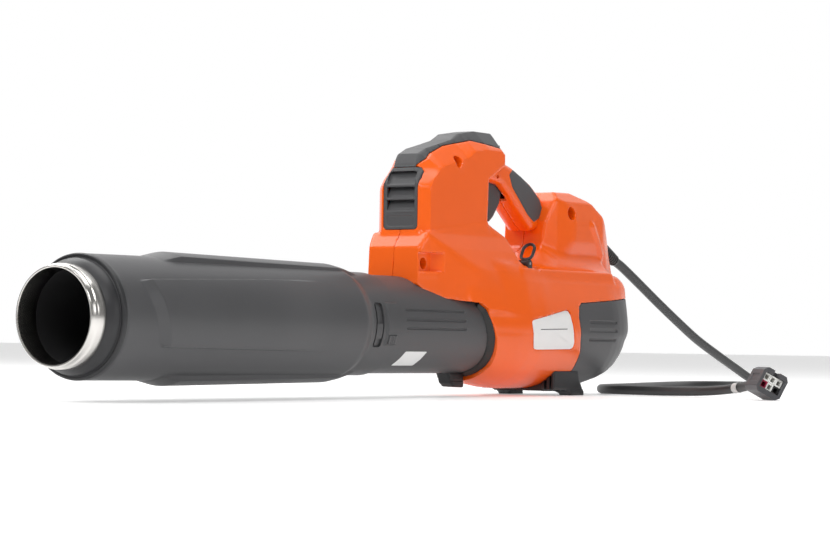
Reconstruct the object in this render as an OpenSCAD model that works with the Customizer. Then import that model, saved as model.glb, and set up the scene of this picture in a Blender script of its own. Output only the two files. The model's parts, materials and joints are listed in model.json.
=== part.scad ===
// Corded-to-battery leaf blower with a fat silencer tube, in millimetres.
// Nozzle towards -X, back of the machine towards +X, +Z up, standing on z = 0.
// Stations s run along the air axis from the nozzle lip. Heights h are measured from that axis.

/* [Overall] */
// Length from the nozzle lip to the back of the machine
total_l = 950; // [940:1:960]
// Height of the air axis above the floor
axis_h = 76; // [75:1:80]
// Wall of the moulded housings
wall = 2.2; // [1.8:0.1:2.4]
// Gap between neighbouring pieces that don't fit tightly
gap = 0.3; // [0.25:0.05:0.35]

/* [Blower tube] */
// Bore radius of the steel nozzle ring
ring_bore_r = 43; // [42.5:0.1:43.3]
// Length of the steel nozzle ring that shows
ring_l = 17; // [15:0.5:18]
// Radius of the silencer tube
tube_r = 58; // [57.5:0.1:59]
// Radius of the collar at the back of the tube
collar_r = 53.3; // [53:0.1:54]
// Station where the collar ends
collar_end = 458; // [456:0.5:460]
// Radius over the raised pads of the tube, at their front
pad_r = 62.7; // [61.5:0.1:63.5]
// Angle that the tube turns on its bayonet, in degrees
twist_range = 18; // [10:1:18]

/* [Duct and fan] */
// Outer radius of the duct
duct_r = 51.3; // [51:0.1:51.5]
// Tip radius of the fan
fan_r = 48; // [46:0.5:48.3]
// Radius of the fan's hub
hub_r = 26; // [24:0.5:27]
// Blades on the fan
blades = 9; // [7:1:11]
// Vanes behind the fan
vanes = 7; // [5:1:9]

/* [Housing] */
// Radius of the drum behind the duct
drum_r = 68.4; // [68:0.1:69]
// Half the width of the tower
tower_w = 33; // [32.5:0.1:34]
// Half the width of the hump
hump_w = 42; // [40:0.5:44]
// Half the thickness of the grip
grip_w = 17; // [16:0.5:18]

/* [Small parts] */
// Radius of the trigger's pin
pin_r = 2; // [1.8:0.1:2.2]
// Angle of the trigger's pull, in degrees
trigger_pull = 14; // [8:1:14]
// Radius of the keypad's buttons
button_r = 4.6; // [4:0.1:5]
// Diameter of the cord
cord_d = 11; // [10:0.5:12]

/* [Hidden] */
$fn = 64;
far = 200;

// Outlines in the side view, as [station, height]
tower_side = [
    [534, 84], [534, 150], [537, 163], [547, 183], [562, 190], [578, 194], [608, 202],
    [623, 210], [655, 215], [688, 215], [690, 212], [690, 178], [672, 168], [657, 160],
    [655, 110], [655, 84]
];
shoulder_side = [
    [521, 20], [521, 45], [524, 82], [536, 98], [655, 113], [690, 98], [702, 66],
    [760, 62], [760, 20]
];
shelf_side = [
    [640, 10], [640, 66], [885, 66], [925, 62], [938, 48], [946, 30], [949, 10]
];
hump_side = [
    [772, 55], [780, 92], [785, 122], [797, 146], [808, 156], [862, 157], [884, 149],
    [905, 133], [918, 110], [929, 84], [942, 62], [942, 55]
];
drum_side = [
    [560, -90], [560, 90], [955, 90], [950, 10], [945, -10], [931, -32], [905, -52],
    [872, -64], [840, -90]
];
grip_side = [
    [676, 186], [708, 186], [731, 180], [749, 173], [770, 164], [788, 153], [812, 136],
    [800, 112], [772, 110], [760, 119], [743, 132], [725, 147], [708, 158], [676, 163]
];
pad_side = [
    [726, 170], [733, 174], [749, 168], [769, 158], [786, 146], [791, 137], [786, 127],
    [776, 123], [763, 131], [746, 146], [732, 158]
];
// Part of the duct that the housings leave open, and part that the back cover fills
duct_window = [
    [400, 90], [519, 90], [519, 45], [531, 36], [545, 30], [580, 27], [612, 25], [623, 19],
    [631, 5], [640, -12], [646, -28], [650, -41], [650, -90], [400, -90]
];
rear_window = [
    [793, 12], [797, 24], [804, 29], [870, 33], [965, 40], [965, -95], [811, -95],
    [811, -53], [805, -27], [798, -11]
];
spine_window = [
    [525, 230], [695, 230], [695, 195], [635, 202], [590, 193], [562, 183], [545, 171],
    [536, 158], [533, 150], [525, 150]
];
vent_window_h = [101, 167.5];
vent_w = 22;

// Trigger pivot, loop pivot and keypad, as [station, height]
trigger_at = [699, 167];
loop_at = [710, 70.5];
loop_y = -46;
panel_at = [690, 193];
button_pitch = 14;
latch_angle = 17;

// Latch between the tube's collar and the duct
slot_from = 419;
slot_to = 433;
collar_bore = duct_r + 0.1;
spigot_r = duct_r - gap;
duct_bore = 49.3;
air_tube_r = 45.2;

// Screws, as [station, height]
side_screws = [[597, 176], [534, 65], [824, 132]];
grip_screws = [[760, 151], [786, 132]];
stand_screw = [789, 20];

// Free cord, by hand: out of the back, down to the floor, round behind and back to its connector
cord_route = [
    [481, -20, 158], [500, -20, 151], [540, -20, 133], [590, -20, 110], [640, -20, 88],
    [690, -20, 67], [740, -21, 49], [790, -22, 32], [835, -23, 17], [872, -22, 9],
    [906, -12, 6], [930, 12, 6], [934, 46, 6], [912, 74, 6], [876, 84, 6], [830, 80, 6],
    [770, 68, 6], [710, 54, 6], [650, 38, 6], [595, 22, 6], [548, 11, 6], [508, 4, 6],
    [472, -9, 6], [445, -34, 6], [430, -72, 6], [425, -120, 6], [425, -168, 7],
    [418, -206, 10], [402, -235, 14], [378, -260, 18.4]
];
cord_steps = 2;
cord_sides = 8;
boot_from = [378, -260, 18.4];
connector_turn = -28;
connector_heading = -131;
gland_from = [446, -20, 171.5];
gland_tilt = 21.1;
gland_neck_r = 9;

// ---------- frames and helpers ----------

module along_x(s) translate([s - total_l / 2, 0, axis_h]) rotate([0, 90, 0]) children();
module lathe(points, sides = 96) along_x(0) rotate_extrude($fn = sides) polygon(points);
module tube_x(r1, r2, s0, s1) lathe([[r1, s0], [r2, s0], [r2, s1], [r1, s1]]);
module side_cut(points, y0 = -far, y1 = far)
    translate([-total_l / 2, y1, axis_h]) rotate([90, 0, 0])
        linear_extrude(height = y1 - y0) polygon(points);
module front_cut(points, s0 = 0, s1 = 1000)
    translate([s0 - total_l / 2, 0, axis_h]) rotate([90, 0, 90])
        linear_extrude(height = s1 - s0) polygon(points);
module plan_cut(points, h0 = -100, h1 = 300)
    translate([-total_l / 2, 0, axis_h + h0]) linear_extrude(height = h1 - h0) polygon(points);
module block(s0, s1, y0, y1, h0, h1)
    translate([s0 - total_l / 2, y0, axis_h + h0]) cube([s1 - s0, y1 - y0, h1 - h0]);
module at(s, y, h) translate([s - total_l / 2, y, axis_h + h]) children();
module pin_y(s, h, r, y0, y1)
    at(s, y1, h) rotate([90, 0, 0]) cylinder(r = r, h = y1 - y0, $fn = 48);

// An outline moved inwards by d; its corners run clockwise
function unit(v) = v / norm(v);
function inward(a, b) = let (t = unit(b - a)) [t[1], -t[0]];
function inset(p, d) = [
    for (i = [0 : len(p) - 1])
        let (n = len(p), a = inward(p[(i + n - 1) % n], p[i]), b = inward(p[i], p[(i + 1) % n]))
            p[i] + d * (a + b) / (1 + a * b)
];
// A front outline that is the same on both sides, from its right half, top to bottom
function both_sides(half) = concat(
    [for (i = [len(half) - 1 : -1 : 0]) [-half[i][0], half[i][1]]],
    half
);
function wedge(a0, a1) = [[0, 0], -100 * [cos(a0), -sin(a0)], -100 * [cos(a1), -sin(a1)]];

// ---------- housing shapes, each moved inwards by g ----------

module drum(g = 0) {
    r = drum_r - g;
    intersection() {
        lathe([
            [0, 600 + g], [53 - g, 600 + g], [60 - g, 645], [r, 700], [r, 872], [r - 5, 905],
            [r - 15, 930], [r - 31, 944], [r - 47, total_l - g], [0, total_l - g]
        ]);
        side_cut(inset(drum_side, g));
    }
}

module shoulder(g = 0) intersection() {
    side_cut(inset(shoulder_side, g));
    front_cut(inset(both_sides([[33, 115], [35, 98], [43, 82], [52, 60], [59, 20]]), g));
    plan_cut(inset([
        [521, -32], [521, 32], [530, 35], [548, 40], [575, 46], [610, 52], [660, 59], [760, 60],
        [760, -60], [660, -59], [610, -52], [575, -46], [548, -40], [530, -35]
    ], g));
}

module shelf(g = 0) intersection() {
    side_cut(inset(shelf_side, g));
    front_cut(inset(both_sides([[48, 66], [57, 50], [64, 20], [66, 10]]), g));
    plan_cut(inset([
        [640, -58], [640, 58], [700, 64], [880, 64], [925, 56], [940, 49], [949, 34],
        [949, -34], [940, -49], [925, -56], [880, -64], [700, -64]
    ], g));
}

module tower(g = 0) intersection() {
    side_cut(inset(tower_side, g));
    front_cut(inset(both_sides([
        [8, 215], [20, 209], [30, 199], [tower_w, 190], [tower_w, 80]
    ]), g));
    plan_cut(inset([
        [534, -25], [534, 25], [542, tower_w], [700, tower_w], [700, -tower_w], [542, -tower_w]
    ], g));
}

module hump(g = 0) intersection() {
    side_cut(inset(hump_side, g));
    front_cut(inset(both_sides([[24, 157], [36, 145], [hump_w, 120], [hump_w, 50]]), g));
    plan_cut(inset([
        [772, -24], [772, 24], [800, 34], [830, hump_w], [890, hump_w], [920, 32],
        [945, 26], [945, -26], [920, -32], [890, -hump_w], [830, -hump_w], [800, -34]
    ], g));
}

module body(g = 0) {
    drum(g);
    shoulder(g);
    shelf(g);
    tower(g);
    hump(g);
}

module vent_zone(g = 0)
    block(530, 545, -vent_w + g, vent_w - g, vent_window_h[0] + g, vent_window_h[1] - g);

// ---------- blower tube ----------

module nozzle_ring() color("silver") lathe([
    [ring_bore_r, 0], [45.5, 0], [45.5, 5], [47.3, 6.5], [47.3, ring_l], [45, ring_l],
    [45, ring_l + 7], [ring_bore_r, ring_l + 7]
]);

module front_cap() color("black") lathe([
    [45, ring_l], [47.5, ring_l], [50.5, 21], [52.6, 26], [53.4, 29], [56, 29.5], [57.2, 31.5],
    [57.2, 34], [55, 34], [55, 44], [52.5, 44], [52.5, 33], [47.6, 27], [45.4, 24], [45, 24]
]);

module raised_pads() {
    for (turn = [0, 180]) along_x(0) rotate([0, 0, turn]) intersection() {
        rotate_extrude($fn = 96) polygon([
            [tube_r - 2, 118], [tube_r, 118], [pad_r, 145], [pad_r - 2.4, 392],
            [collar_r + 1, 430], [collar_r - 1, 430]
        ]);
        translate([0, -26, 0]) cube([100, 52, 500]);
    }
    for (turn = [90, 270]) along_x(0) rotate([0, 0, turn]) intersection() {
        rotate_extrude($fn = 96) polygon([
            [tube_r - 2, 56], [tube_r, 56], [tube_r + 1.6, 66], [tube_r + 1.8, 315],
            [tube_r, 335], [tube_r - 2, 335]
        ]);
        translate([0, -30, 0]) cube([100, 60, 500]);
    }
}

module silencer_shell() color("dimgray") difference() {
    union() {
        lathe([
            [tube_r - wall, 34.2], [tube_r - 0.8, 34.2], [tube_r, 40], [tube_r, 392],
            [tube_r - 1.5, 404], [collar_r, 416], [collar_r, collar_end], [collar_bore, collar_end],
            [collar_bore, 414], [tube_r - wall, 402]
        ]);
        difference() {
            raised_pads();
            lathe([
                [0, 0], [tube_r - wall, 0], [tube_r - wall, 402], [collar_bore, 414],
                [collar_bore, 500], [0, 500]
            ]);
        }
        difference() {
            lathe([
                [collar_r - 1, 434], [collar_r + 1.6, 435], [collar_r + 1.6, collar_end - 1],
                [collar_r - 1, collar_end]
            ]);
            block(430, 460, -22, 100, -100, 100);
            block(430, 460, -100, 100, 22, 100);
            block(430, 460, -100, 100, -100, -24);
            lathe([[0, 430], [collar_bore, 430], [collar_bore, 470], [0, 470]]);
        }
    }
    for (turn = [0, 180]) at(0, 0, 0) rotate([turn, 0, 0])
        translate([slot_from, -60, -24]) cube([slot_to - slot_from, 30, 46]);
    at(448, 0, 0) rotate([latch_angle, 0, 0]) translate([-7, -60, -5]) cube([14, 20, 10]);
}

module inner_air_tube() color("gray")
    tube_x(ring_bore_r, air_tube_r, ring_l + 7, 446);

module acoustic_foam() color("khaki")
    tube_x(air_tube_r, tube_r - wall - 0.6, 46, 398);

module latch_button() color("black")
    at(448, 0, 0) rotate([latch_angle, 0, 0]) translate([-6.7, -56, -4.7]) cube([13.4, 3.4, 9.4]);

// ---------- duct ----------

module duct_housing() color("dimgray") difference() {
    union() {
        lathe([
            [duct_bore, 424], [spigot_r, 424], [spigot_r, collar_end + gap],
            [duct_r, collar_end + gap], [duct_r, 655], [duct_bore, 655]
        ]);
        for (side = [-1, 1]) intersection() {
            tube_x(duct_bore, collar_r - 0.4, slot_from + 2, slot_to - 2);
            front_cut([[0, 0], [80 * side, 0], [80 * side, 24 * side]]);
        }
    }
    for (h = [14.5, 4.8, -4])
        block(476, 588, -60, 0.8 - sqrt(duct_r * duct_r - h * h), h - 1, h + 1);
}

module duct_seal() color("black") difference() {
    intersection() {
        lathe([[duct_r, 612], [57, 640], [57, 655], [duct_r, 655]]);
        side_cut(inset(duct_window, gap));
    }
    side_cut(inset(duct_window, 9.5));
    block(590, 655, -9 - gap, 9 + gap, -100, -30);
}

module duct_keel() color("black") difference() {
    side_cut([[618, -40], [618, -51], [624, -62], [630, -66], [649, -67], [649, -40]], -9, 9);
    tube_x(0, duct_r, 590, 660);
}

module duct_sticker() color("white") intersection() {
    tube_x(duct_r, duct_r + 0.3, 480, 525);
    front_cut(wedge(-32, -56));
}

// ---------- housings and covers ----------

module shell_cuts() {
    body(wall);
    side_cut(duct_window);
    side_cut(rear_window);
    side_cut(spine_window);
    vent_zone(-0.1);
    lathe([[0, 500], [duct_r + gap, 500], [duct_r + gap, 660], [0, 660]]);
    // handle's cable passages in the tower and the hump
    block(680, 700, -8, 8, 168, 176);
    block(780, 806, -8, 8, 118, 134);
    at(stand_screw[0], -stand_screw[1], -90) cylinder(r = 1.5, h = 40);
}

module boss_pocket() intersection() {
    block(521, 553, -70, -34.2, 57, 76);
    plan_cut([[521, -80], [521, -20], [546, -34.2], [562, -60], [562, -80]]);
}

module label_recess() intersection() {
    tube_x(drum_r - 0.9, drum_r + 4, 680, 800);
    side_cut([[691, 9], [770, 22], [776, 20], [789, -19], [785, -24], [706, -25], [701, -22]],
        -80, 0);
}

module housing_half() difference() {
    body();
    shell_cuts();
    block(0, 1000, -gap / 2, 200, -200, 300);
}

module left_housing() color("orangered") difference() {
    union() {
        housing_half();
        intersection() {
            body();
            for (p = side_screws) pin_y(p[0], p[1], 5.4, -60, -gap / 2);
        }
    }
    for (p = side_screws) {
        pin_y(p[0], p[1], 3.6, -60, -20);
        pin_y(p[0], p[1], 1.6, -30, 0);
    }
    boss_pocket();
    label_recess();
    gland_frame() translate([0, 0, -12]) cylinder(r = gland_neck_r, h = 40);
}

module right_housing() color("orangered") difference() {
    union() {
        mirror([0, 1, 0]) housing_half();
        intersection() {
            body();
            for (p = side_screws) pin_y(p[0], p[1], 4.4, gap / 2, 60);
        }
    }
    for (p = side_screws) pin_y(p[0], p[1], 1.6, -5, 12);
}

module rear_cover() color("dimgray") difference() {
    intersection() {
        body();
        side_cut(inset(rear_window, gap));
    }
    body(wall);
    for (h = [-24 : 11 : 20]) block(880, 960, -24, 24, h, h + 5);
}

module spine_cover() color("dimgray") difference() {
    intersection() {
        tower();
        side_cut(inset(spine_window, gap));
    }
    tower(wall + 1);
    vent_zone();
}

module vent_cover() color("dimgray") {
    difference() {
        intersection() {
            tower();
            vent_zone(gap);
        }
        tower(wall + 1);
        block(530, 546, -17, 17, 119, 162);
    }
    for (h = [120, 134, 148]) side_cut([
        [535, h], [535, h + 2], [539.5, h + 11], [541.5, h + 11], [541.5, h + 9], [537, h]
    ], -17, 17);
}

module label_plate() color("white") intersection() {
    label_recess();
    tube_x(drum_r - 1, drum_r, 680, 800);
}

module stand() color("black") difference() {
    union() {
        for (side = [0, 1]) mirror([0, side, 0]) side_cut([
            [772, -45], [772, -69], [800, -70], [811, -76], [838, -76], [837, -70],
            [829, -58], [824, -40]
        ], -49, -33);
        side_cut([[775, -50], [775, -71], [806, -71], [822, -60], [822, -50]], -33, 33);
    }
    drum(-gap);
    for (side = [-1, 1]) at(stand_screw[0], side * stand_screw[1], 0) {
        translate([0, 0, -80]) cylinder(r = 3.3, h = 12);
        translate([0, 0, -80]) cylinder(r = 1.5, h = 30);
    }
}

// ---------- handle ----------

module grip(g = 0) {
    side_cut(inset(grip_side, g), -grip_w + 5 + g, grip_w - 5 - g);
    side_cut(inset(grip_side, g + 2), -grip_w + 2 + g, grip_w - 2 - g);
    side_cut(inset(grip_side, g + 5), -grip_w + g, grip_w - g);
}

module grip_pad_zone(g = 0) side_cut(inset(pad_side, g), -far, -grip_w + 1.4);

module handle_half() difference() {
    union() {
        difference() {
            grip();
            grip(3);
        }
        pin_y(trigger_at[0], trigger_at[1], 5, -grip_w + 2, -8.2);
        for (p = grip_screws) pin_y(p[0], p[1], 4, -grip_w + 2.5, -gap / 2);
    }
    for (p = grip_screws) pin_y(p[0], p[1], 1.6, -12, 12);
    tower(-0.2);
    hump(-0.2);
    block(600, 900, -gap / 2, 100, 0, 300);
    block(689, 731, -8.2, 8.2, 100, 172);
    pin_y(trigger_at[0], trigger_at[1], pin_r, -12, 12);
    grip_pad_zone();
}

module handle_left() color("orangered") handle_half();
module handle_right() color("orangered") mirror([0, 1, 0]) handle_half();

module grip_pad() intersection() {
    grip();
    grip_pad_zone(0.1);
}

module grip_pad_left() color("darkslategray") grip_pad();
module grip_pad_right() color("darkslategray") mirror([0, 1, 0]) grip_pad();

module trigger() color("dimgray") difference() {
    union() {
        side_cut([
            [692, 168], [696, 172], [703, 172], [707, 164], [718, 164], [722, 149], [719, 138],
            [707, 123], [699, 117], [694, 119], [692, 140]
        ], -7.4, 7.4);
        pin_y(trigger_at[0], trigger_at[1], 4.6, -7.4, 7.4);
    }
    pin_y(trigger_at[0], trigger_at[1], pin_r + 0.06, -20, 20);
}

module trigger_pin() color("silver") pin_y(trigger_at[0], trigger_at[1], pin_r, -12, 12);

module trigger_spring() color("silver") for (i = [0 : 6])
    at(713, 0, 165 + 2.5 * i) rotate_extrude($fn = 32) translate([2.6, 0])
        circle(r = 0.5, $fn = 16);

module trigger_switch() color("black") block(730, 750, -6, 6, 154, 163);

// ---------- keypad on the back of the tower ----------

module button_place(i) at(panel_at[0], i * button_pitch, panel_at[1]) rotate([0, 90, 0]) children();

module control_panel() color("black") difference() {
    block(panel_at[0], panel_at[0] + 4, -22, 22, panel_at[1] - 6.5, panel_at[1] + 8);
    for (i = [-1 : 1]) button_place(i) translate([0, 0, -1]) cylinder(r = button_r + gap, h = 8);
}

module key(i) button_place(i) translate([0, 0, 1.6]) cylinder(r = button_r, h = 4);
module power_button() color("orangered") key(0);
module boost_button() color("gray") key(1);
module eco_button() color("gray") key(-1);

// ---------- strap loop ----------

module loop_frame() at(loop_at[0], loop_y, loop_at[1]) rotate([0, 30, 0]) children();

module strap_loop() color("black") difference() {
    union() {
        loop_frame() rotate([90, 0, 90]) linear_extrude(height = 3.6, center = true) difference() {
            union() {
                translate([0, 12]) circle(r = 9);
                translate([0, 18]) circle(r = 9);
                translate([-9, 12]) square([18, 6]);
                translate([-4, 0]) square([8, 6]);
            }
            translate([0, 12]) circle(r = 5.6);
            translate([0, 18]) circle(r = 5.6);
            translate([-5.6, 12]) square([11.2, 6]);
        }
        pin_y(loop_at[0], loop_at[1], 2.8, loop_y - 4, loop_y + 4);
    }
    pin_y(loop_at[0], loop_at[1], 1.56, loop_y - 20, loop_y + 20);
}

module strap_loop_pin() color("silver") pin_y(loop_at[0], loop_at[1], 1.5, loop_y - 8, loop_y + 8);

module strap_bracket() color("black") difference() {
    for (y = [loop_y - 8, loop_y + 4.4]) {
        block(loop_at[0] - 4, loop_at[0] + 4, y, y + 3.6, 60, loop_at[1]);
        pin_y(loop_at[0], loop_at[1], 4, y, y + 3.6);
    }
    shelf(-0.05);
    drum(-0.05);
    shoulder(-0.05);
    pin_y(loop_at[0], loop_at[1], 1.5, loop_y - 20, loop_y + 20);
}

// ---------- fan and motor ----------

module blade_row(count, r0, r1, s0, s1, lean, thick)
    intersection() {
        tube_x(r0, r1, s0, s1);
        for (i = [0 : count - 1]) along_x(0) rotate([0, 0, i * 360 / count])
            translate([0, 0, (s0 + s1) / 2]) rotate([lean, 0, 0])
                translate([0, -thick / 2, -30]) cube([r1 + 5, thick, 60]);
    }

module guide_vanes() color("dimgray") {
    tube_x(24, hub_r, 556, 600);
    tube_x(11, 24.5, 556, 561);
    tube_x(15.2, 24.5, 596, 600);
    blade_row(vanes, hub_r - 0.5, duct_bore, 560, 592, 8, 2);
}

module motor_stator() color("darkgray") tube_x(14.4, 24, 562, 594);
module motor_rotor() color("silver") {
    tube_x(0, 14, 564, 592);
    tube_x(0, 4, 556, 652);
}
module front_bearing() color("silver") tube_x(4.05, 11, 556, 562);
module rear_bearing() color("silver") tube_x(4.05, 15.2, 596, 602);

module fan_impeller() color("dimgray") {
    lathe([
        [4, 612], [hub_r, 612], [hub_r, 636], [hub_r - 6, 642], [8, 645], [4, 645]
    ]);
    blade_row(blades, hub_r - 1, fan_r, 613, 637, 38, 2.4);
}

module hub_nut() color("silver") lathe([[4, 645], [7, 645], [7, 650], [4, 650]], 6 * 4);

module tail_cone() color("dimgray")
    lathe([[0, 508], [4, 509], [14, 522], [21, 538], [hub_r, 555.8], [0, 555.8]]);

module intake_bellmouth() color("dimgray")
    lathe([
        [duct_bore, 655], [52.5, 655], [53.5, 664], [60, 674], [60, 677], [58, 677], [51, 667]
    ]);

module fan_damper() color("black") tube_x(53.6, 58.4, 656, 662);

// ---------- electronics ----------

module controller_board() color("darkgreen") block(560, 640, 8, 9.6, 118, 168);
module heat_sink() color("silver") {
    block(560, 636, 9.6, 12, 122, 166);
    for (s = [562 : 8 : 634]) block(s, s + 2, 12, 24, 122, 166);
}
module motor_leads() color("red") for (s = [590, 600, 610])
    at(s, 8.8, duct_r - 0.4) cylinder(r = 0.75, h = 118 - duct_r + 0.4, $fn = 24);

// ---------- fasteners ----------

module housing_screws() color("silver") for (p = side_screws) {
    pin_y(p[0], p[1], 3.2, -23, -20);
    pin_y(p[0], p[1], 1.6, -20, 12);
}
module handle_screws() color("silver") for (p = grip_screws)
    pin_y(p[0], p[1], 1.6, -12, 12);
module stand_screws() color("silver") for (side = [-1, 1])
    at(stand_screw[0], side * stand_screw[1], 0) {
        translate([0, 0, -70.8]) cylinder(r = 3, h = 2.8);
        translate([0, 0, -68]) cylinder(r = 1.5, h = 8);
    }

// ---------- cord and connector ----------

// Points along a smooth curve through the route, and the tube swept along them
function curve_at(a, b, c, d, t) =
    0.5 * (2 * b + (c - a) * t + (2 * a - 5 * b + 4 * c - d) * t * t
        + (3 * b - a - 3 * c + d) * t * t * t);
function route_point(p, i) = p[max(0, min(len(p) - 1, i))];
function smooth_route(p, steps) = concat([
    for (i = [0 : len(p) - 2]) for (k = [0 : steps - 1])
        curve_at(route_point(p, i - 1), p[i], p[i + 1], route_point(p, i + 2), k / steps)
], [p[len(p) - 1]]);
function heading(p, i) = unit(route_point(p, i + 1) - route_point(p, i - 1));
function tube_ring(p, i, r, sides) =
    let (t = heading(p, i), across = unit([t[1], -t[0], 0]), up = cross(across, t))
        [for (k = [0 : sides - 1]) let (a = (k + 0.5) * 360 / sides)
            p[i] + r / cos(180 / sides) * (cos(a) * across + sin(a) * up)];

module swept_tube(p, r, sides) polyhedron(
    points = [for (i = [0 : len(p) - 1]) each tube_ring(p, i, r, sides)],
    faces = concat(
        [[for (k = [0 : sides - 1]) k]],
        [[for (k = [sides - 1 : -1 : 0]) (len(p) - 1) * sides + k]],
        [for (i = [0 : len(p) - 2]) for (k = [0 : sides - 1]) for (half = [0, 1])
            let (a = i * sides + k, b = i * sides + (k + 1) % sides)
                half == 0 ? [a, a + sides, b] : [b, a + sides, b + sides]]
    ),
    convexity = 6
);

module power_cord() color("black")
    swept_tube(smooth_route(cord_route, cord_steps), cord_d / 2 - 0.05, cord_sides);

module gland_frame() translate(gland_from) rotate([0, 90 + gland_tilt, 0]) children();

module cord_gland() color("black") gland_frame() {
    rotate_extrude($fn = 48) polygon([
        [0, -10], [11.5, -10], [11.5, -7], [gland_neck_r, -7], [gland_neck_r, 6], [8.4, 9],
        [7.6, 20], [6.4, 37.4], [0, 37.4]
    ]);
}

module cord_tie() color("lightgray") translate([410.5, -221, 12]) rotate([0, 83, -119])
    rotate_extrude($fn = 32) polygon([[5.5, -5], [6, -5], [6, 5], [5.5, 5]]);

module connector_frame()
    translate(boot_from) rotate([0, 0, connector_heading]) rotate([connector_turn, 0, 0])
        children();

module connector_boot() color("black") connector_frame() {
    rotate([0, 90, 0]) cylinder(r = 7.5, h = 9, $fn = 48);
    translate([7, -11, -10.5]) cube([6, 22, 21]);
}

module connector_outline() polygon([
    [-15.5, -10], [-11.5, -14.5], [11.5, -14.5], [15.5, -10], [15.5, 10], [11.5, 14.5],
    [-11.5, 14.5], [-15.5, 10]
]);

module connector_housing() color("dimgray") connector_frame() difference() {
    translate([13, 0, 0]) rotate([90, 0, 90]) linear_extrude(height = 34) connector_outline();
    translate([19, -11.8, -8.6]) cube([60, 23.6, 17.2]);
    translate([35, -3.5, 8]) cube([60, 7, 10]);
}

module contact_cell(column, row) connector_frame()
    translate([19, -11.4 + 7.7 * column, row * 8.6 - 8.5]) difference() {
        cube([24, 7.4, 8.3]);
        translate([10, 1.4, 1.5]) cube([20, 4.6, 5.3]);
    }

module contacts_white() color("white") {
    for (column = [0 : 2]) contact_cell(column, 1);
    contact_cell(1, 0);
}
module contact_red() color("darkred") contact_cell(0, 0);
module contact_black() color("black") contact_cell(2, 0);

nozzle_ring();
front_cap();
silencer_shell();
inner_air_tube();
acoustic_foam();
latch_button();
duct_housing();
duct_seal();
duct_keel();
duct_sticker();
left_housing();
right_housing();
rear_cover();
spine_cover();
vent_cover();
handle_left();
handle_right();
grip_pad_left();
grip_pad_right();
trigger();
trigger_pin();
trigger_spring();
trigger_switch();
control_panel();
power_button();
boost_button();
eco_button();
strap_loop();
strap_loop_pin();
strap_bracket();
label_plate();
stand();
guide_vanes();
motor_stator();
motor_rotor();
front_bearing();
rear_bearing();
fan_impeller();
hub_nut();
tail_cone();
intake_bellmouth();
fan_damper();
controller_board();
heat_sink();
motor_leads();
housing_screws();
handle_screws();
stand_screws();
cord_gland();
power_cord();
cord_tie();
connector_boot();
connector_housing();
contacts_white();
contact_red();
contact_black();
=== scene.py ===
"""Leaf blower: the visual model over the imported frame. Built in millimetres along the air axis
(s back from the nozzle lip, y across, h above the axis), then placed in metres."""
import json
import math

import bmesh
import bpy
import numpy as np
from mathutils import Matrix, Vector

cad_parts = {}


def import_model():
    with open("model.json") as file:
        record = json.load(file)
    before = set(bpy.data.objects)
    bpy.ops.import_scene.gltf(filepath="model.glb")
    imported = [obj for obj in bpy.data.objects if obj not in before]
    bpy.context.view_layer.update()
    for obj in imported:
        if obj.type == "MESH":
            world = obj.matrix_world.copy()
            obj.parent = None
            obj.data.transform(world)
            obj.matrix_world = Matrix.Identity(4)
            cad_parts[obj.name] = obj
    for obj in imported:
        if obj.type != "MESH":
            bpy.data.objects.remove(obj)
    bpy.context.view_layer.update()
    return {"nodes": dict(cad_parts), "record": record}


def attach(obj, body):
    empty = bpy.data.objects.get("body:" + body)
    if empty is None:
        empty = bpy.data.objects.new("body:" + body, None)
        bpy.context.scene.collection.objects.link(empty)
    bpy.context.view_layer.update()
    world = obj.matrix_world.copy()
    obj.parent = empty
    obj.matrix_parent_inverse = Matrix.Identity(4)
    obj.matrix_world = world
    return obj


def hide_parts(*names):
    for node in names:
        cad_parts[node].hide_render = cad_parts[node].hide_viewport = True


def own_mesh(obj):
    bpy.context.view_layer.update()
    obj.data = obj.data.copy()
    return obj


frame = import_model()

TOTAL_L, AXIS_H = 950.0, 76.0
DUCT_R, COLLAR_R, TUBE_R, DRUM_R = 51.3, 53.3, 58.0, 68.4
WALL = 4.5          # visual wall of the moulded shells
GAP = 0.3           # between neighbouring pieces
SEAM = 0.18         # from the middle plane to each half
GRID = 2.2


# ---------- placing things ----------

def world(points):
    """Points (s, y, h) in millimetres to metres in the shared frame."""
    p = np.asarray(points, float)
    return (p + [-TOTAL_L / 2, 0, AXIS_H]) / 1000


def add_mesh(name, points, faces, angle=35, metres=False):
    mesh = bpy.data.meshes.new(name)
    verts = np.asarray(points, float) if metres else world(points)
    mesh.from_pydata(verts.tolist(), [], [list(map(int, f)) for f in faces])
    mesh.validate()
    mesh.update()
    bm = bmesh.new()
    bm.from_mesh(mesh)
    bmesh.ops.recalc_face_normals(bm, faces=bm.faces)
    bm.to_mesh(mesh)
    bm.free()
    mesh.shade_smooth()
    mesh.set_sharp_from_angle(angle=math.radians(angle))
    obj = bpy.data.objects.new(name, mesh)
    bpy.context.collection.objects.link(obj)
    return obj


def join(name, objs):
    bpy.ops.object.select_all(action="DESELECT")
    for o in objs:
        o.select_set(True)
    bpy.context.view_layer.objects.active = objs[0]
    bpy.ops.object.join()
    objs[0].name = name
    objs[0].data.name = name
    return objs[0]


# ---------- signed distances, in millimetres ----------

def unit2(v):
    return v / math.hypot(*v)


def inset(pts, d):
    """A clockwise outline moved inwards by d."""
    p = [np.array(q, float) for q in pts]
    out = []
    for i, q in enumerate(p):
        t0, t1 = unit2(q - p[i - 1]), unit2(p[(i + 1) % len(p)] - q)
        a, b = np.array([t0[1], -t0[0]]), np.array([t1[1], -t1[0]])
        out.append(q + d * (a + b) / (1 + a @ b))
    return out


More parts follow.
